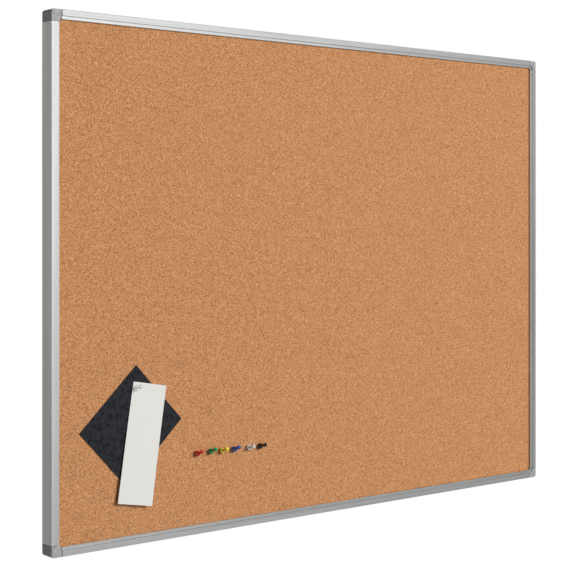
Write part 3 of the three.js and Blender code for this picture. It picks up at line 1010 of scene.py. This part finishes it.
def pinPlace(name):  # the middle of the flange's underside, from the CAD grip, and the way the pin points
    outwards = Vector(joints[f"pin_{name}_pull"]["axis"]).normalized()
    grip = frame["nodes"]["pin_grip_" + name].data
    points = {tuple(round(value, 6) for value in vertex.co): vertex.co.copy() for vertex in grip.vertices}
    lowest = min(point.dot(outwards) for point in points.values())
    rim = [point for point in points.values() if point.dot(outwards) < lowest + pin["smallRound"] / 2]
    middle = sum(rim, Vector()) / len(rim)
    turn = Vector((0, -1, 0)).rotation_difference(outwards)
    return Matrix.Translation(middle) @ turn.to_matrix().to_4x4()


def makePins():
    finishes = {name: pinFinish("pin" + titled(name), colour) for name, colour in pinColours.items()}
    finishes["clear"] = clearFinish("pinMilky", 0.4, 1.0)
    finishes["note"] = clearFinish("pinClear", 0.6, 0.5)
    for name in ("red", "green", "yellow", "blue", "clear", "black", "note"):
        place = pinPlace(name)
        grip = turnedPiece("pinGrip" + titled(name), gripOutline(), pin["steps"], finishes[name],
                           place, pin["rounds"])
        needle = turnedPiece("pinNeedle" + titled(name), needleOutline(), pin["needleSteps"],
                             needleSteel, place)
        dress(grip, "pin_" + name, "pin_grip_" + name)
        dress(needle, "pin_" + name, "pin_needle_" + name)


makePins()
print("pins made")


# Papers: a sheet's own frame has the pin's hole at its origin, +x right and +z up

card = {
    "width": 156 * mm,
    "height": 137 * mm,
    "thickness": 0.4 * mm,
    "holeFromRight": 27.2 * mm,
    "holeFromTop": 29 * mm,
    "turn": -43.6,  # degrees, clockwise as seen from the front
    "lift": 1.2 * mm,  # how far its farthest corner stands off
    "steps": (24, 24),
}
strip = {
    "width": 69 * mm,
    "height": 207 * mm,
    "thickness": 0.3 * mm,
    "holeFromLeft": 7.8 * mm,
    "holeFromTop": 10.7 * mm,
    "turn": 9.9,
    "liftLeft": 5.5 * mm,
    "liftRight": 8 * mm,
    "liftPower": 1.3,  # 1 for a straight lean from the pin, 2 for an even curl
    "steps": (10, 60),
}


def sheetMesh(name, sheet, left, top, liftAt):
    columns, rows = sheet["steps"]
    mesh = bmesh.new()
    layers = []
    for side in (-0.5, 0.5):
        layer = []
        for row in range(rows + 1):
            up = top - sheet["height"] * row / rows
            line = []
            for column in range(columns + 1):
                right = left + sheet["width"] * column / columns
                line.append(mesh.verts.new((right, side * sheet["thickness"] - liftAt(right, up), up)))
            layer.append(line)
        layers.append(layer)
    front, back = layers
    for row in range(rows):
        for column in range(columns):
            for layer in layers:
                ring = [layer[row][column], layer[row][column + 1],
                        layer[row + 1][column + 1], layer[row + 1][column]]
                mesh.faces.new(ring if layer is back else reversed(ring))
    rims = [
        [(row, 0) for row in range(rows + 1)],
        [(rows, column) for column in range(columns + 1)],
        [(rows - row, columns) for row in range(rows + 1)],
        [(0, columns - column) for column in range(columns + 1)],
    ]
    for rim in rims:
        for (rowA, columnA), (rowB, columnB) in zip(rim, rim[1:]):
            mesh.faces.new((front[rowA][columnA], front[rowB][columnB],
                            back[rowB][columnB], back[rowA][columnA]))
    bmesh.ops.recalc_face_normals(mesh, faces=mesh.faces)
    made = bpy.data.meshes.new(name)
    mesh.to_mesh(made)
    mesh.free()
    return made


def stripLift(right, up):  # flat down to the pin, then curled off the board and a little twisted
    share = (right + strip["holeFromLeft"]) / strip["width"]
    curl = strip["liftLeft"] + (strip["liftRight"] - strip["liftLeft"]) * share
    return curl * (max(-up, 0) / (strip["height"] - strip["holeFromTop"])) ** strip["liftPower"]


def cardLift(right, up):
    farthest = math.hypot(card["width"] - card["holeFromRight"], card["height"] - card["holeFromTop"])
    return card["lift"] * (math.hypot(right, up) / farthest) ** 2


def makeSheet(name, sheet, left, liftAt, finish, body, node):
    mesh = sheetMesh(name, sheet, left, sheet["holeFromTop"], liftAt)
    hinge = Vector(joints[body + "_swing"]["pos_m"])
    mesh.transform(Matrix.Translation(hinge) @ Matrix.Rotation(math.radians(sheet["turn"]), 4, "Y"))
    mesh.materials.append(finish)
    smooth(mesh, softAngle)
    dress(pieceFrom(mesh, name), body, node)


makeSheet("noteCard", card, card["holeFromRight"] - card["width"], cardLift, cardFinish(),
          "card", "note_card")
makeSheet("noteStrip", strip, -strip["holeFromLeft"], stripLift, stripFinish(),
          "strip", "note_strip")
print("papers made")


# Stage, light and camera

studio = {
    "floor": -1.35,  # the board hangs 0.9 m above it
    "floorSize": 14.0,
    "floorColour": 0.9,
    "floorGlow": 0.45,  # share of plain white near the board, where the floor shows its shadow
    "whiteFrom": 2.3,  # distance from the board's middle at which the floor starts to turn all white
    "whiteTo": 3.0,
    "bounce": 0.3,  # the floor's colour for the light that it throws back
    "fill": 0.17,
    # azimuth to the right of the front, height, distance, size, brightness
    "key": (30, 20, 16.0, 7.5, 1.07),
    "back": (150, 30, 9.0, 4.0, 0.7),
    "cards": {  # seen in reflections only: middle, spans along x, y and z, brightness
        "frontLeftCard": ((-8.5, -7, 2.6), (15, 0, 7.8), 0.1),
        "leftCard": ((-4, 3.5, 1.85), (0, 21, 6.3), 0.44),
        "rightCard": ((4, 2.25, 1.85), (0, 7.5, 6.3), 0.25),
        "lowCard": ((0, 0, -1.3), (32, 32, 0), 0.42),
        "topCard": ((0, 0, 6.6), (34, 34, 0), 0.12),
        "frontCard": ((7.5, -7, 2.6), (17, 0, 7.8), 2.54),
    },
    # where the front card starts to darken to the right, how that leans with height, and over what
    "fall": (2.43, 1.67, 3.24),
    "rise": (1.5, 3.0),  # the height above which it darkens, and over what
    "warmth": (1, 1, 0.93, 1),  # the left card's tone
}
white = grey(1)
black = grey(0)


def seenShare(plan):
    path = plan.node("ShaderNodeLightPath", out="Is Camera Ray")
    return path.most(path.beside("Is Glossy Ray")).most(path.beside("Is Transmission Ray"))


def bareMaterial(name):
    material = bpy.data.materials.new(name)
    material.use_nodes = True
    return material, Tree(material.node_tree)


def floorFinish():  # near the board it keeps the shadow, and farther off it is as white as the world
    material, plan = bareMaterial("paleFloor")
    place = plan.node("ShaderNodeTexCoord", out="Object")
    flat = plan.node("ShaderNodeVectorMath", {"operation": "MULTIPLY"}, {0: place, 1: (1, 1, 0)})
    distance = plan.node("ShaderNodeVectorMath", {"operation": "LENGTH"}, {0: flat}, "Value")
    far = plan.node("ShaderNodeMapRange", None, {
        "Value": distance,
        "From Min": studio["whiteFrom"],
        "From Max": studio["whiteTo"],
        "To Min": studio["floorGlow"],
    })
    glow = plan.node("ShaderNodeEmission", None, {"Color": white, "Strength": 1.0})
    lit = plan.node("ShaderNodeBsdfDiffuse", None, {"Color": grey(studio["floorColour"])})
    shown = plan.node("ShaderNodeMixShader", None, {"Fac": far, 1: lit, 2: glow})
    thrown = plan.node("ShaderNodeBsdfDiffuse", None, {"Color": grey(studio["bounce"])})
    both = plan.node("ShaderNodeMixShader", None, {"Fac": seenShare(plan), 1: thrown, 2: shown})
    plan.node("ShaderNodeOutputMaterial", None, {"Surface": both})
    return material


def lightWorld():
    world = bpy.data.worlds.new("studio")
    world.use_nodes = True
    plan = Tree(world.node_tree)
    strength = studio["fill"] + (1 - studio["fill"]) * seenShare(plan)
    sky = plan.node("ShaderNodeBackground", None, {"Color": white, "Strength": strength})
    plan.node("ShaderNodeOutputWorld", None, {"Surface": sky})
    bpy.context.scene.world = world


def addLamp(name, azimuth, height, distance, size, level):  # level is what it gives a white face square to it
    turn, rise = math.radians(azimuth), math.radians(height)
    direction = Vector((math.sin(turn) * math.cos(rise), -math.cos(turn) * math.cos(rise), math.sin(rise)))
    lamp = bpy.data.lights.new(name, "AREA")
    lamp.shape = "SQUARE"
    lamp.size = size
    lamp.energy = level * math.pi ** 2 * distance ** 2
    made = pieceFrom(lamp, name)
    made.location = direction * distance
    made.rotation_euler = direction.to_track_quat("Z", "Y").to_euler()
    made.visible_camera = False
    made.visible_glossy = False


def sheetOf(name, middle, spans):  # a flat rectangle across its two wide spans
    sides = [Vector([span / 2 if index == axis else 0 for index in range(3)])
             for axis, span in enumerate(spans) if span]
    middle = Vector(middle)
    mesh = bpy.data.meshes.new(name)
    corners = [middle + a * sides[0] + b * sides[1] for a, b in ((-1, -1), (1, -1), (1, 1), (-1, 1))]
    mesh.from_pydata(corners, [], [(0, 1, 2, 3)])
    return mesh


def fading(plan, value, start, width):  # 1 up to the start, then down to 0 over the width
    return plan.node("ShaderNodeMapRange", None, {
        "Value": value,
        "From Min": start,
        "From Max": start + width,
        "To Min": 1.0,
        "To Max": 0.0,
    })


def cardGlow(plan):  # the front card's grey, which falls off to the right and upwards
    place = plan.node("ShaderNodeTexCoord", out="Object")
    right = plan.node("ShaderNodeSeparateXYZ", None, {"Vector": place})
    up = right.beside("Z")
    start, lean, width = studio["fall"]
    glow = fading(plan, right - lean * up, start, width) * fading(plan, up, *studio["rise"])
    return plan.node("ShaderNodeValToRGB", {"stops": [(0, black), (1, white)]}, {"Fac": glow})


def addCard(name, middle, spans, level):
    material, plan = bareMaterial(name)
    colour = white
    if name == "frontCard":
        colour = cardGlow(plan)
    elif name == "leftCard":
        colour = studio["warmth"]
    glow = plan.node("ShaderNodeEmission", None, {"Color": colour, "Strength": level})
    plan.node("ShaderNodeOutputMaterial", None, {"Surface": glow})
    made = pieceFrom(sheetOf(name, middle, spans), name)
    made.data.materials.append(material)
    made.visible_camera = False
    made.visible_diffuse = False
    made.visible_transmission = False
    made.visible_shadow = False


def makeStage():
    size = studio["floorSize"]
    floor = pieceFrom(sheetOf("floor", (0, 0, studio["floor"]), (size, size, 0)), "floor")
    floor.data.materials.append(floorFinish())
    lightWorld()
    addLamp("key", *studio["key"])
    addLamp("back", *studio["back"])
    for name, settings in studio["cards"].items():
        addCard(name, *settings)


camera = {
    "place": (-1.8, -2.0813, 0.0954),
    "azimuth": -39.704,  # degrees from square on
    "lens": 89.56,
    "sensor": 36.0,
    "shift": -0.1031,
    "reach": (0.05, 100.0),  # nearest and farthest that it sees
}


def addCamera():
    data = bpy.data.cameras.new("camera")
    data.lens = camera["lens"]
    data.sensor_width = camera["sensor"]
    data.sensor_fit = "HORIZONTAL"
    data.shift_y = camera["shift"]
    data.clip_start, data.clip_end = camera["reach"]
    made = pieceFrom(data, "camera")
    made.location = camera["place"]
    made.rotation_euler = (quarter, 0, math.radians(camera["azimuth"]))
    bpy.context.scene.camera = made


makeStage()
addCamera()
bpy.context.scene.view_settings.view_transform = "Standard"
print("stage set")
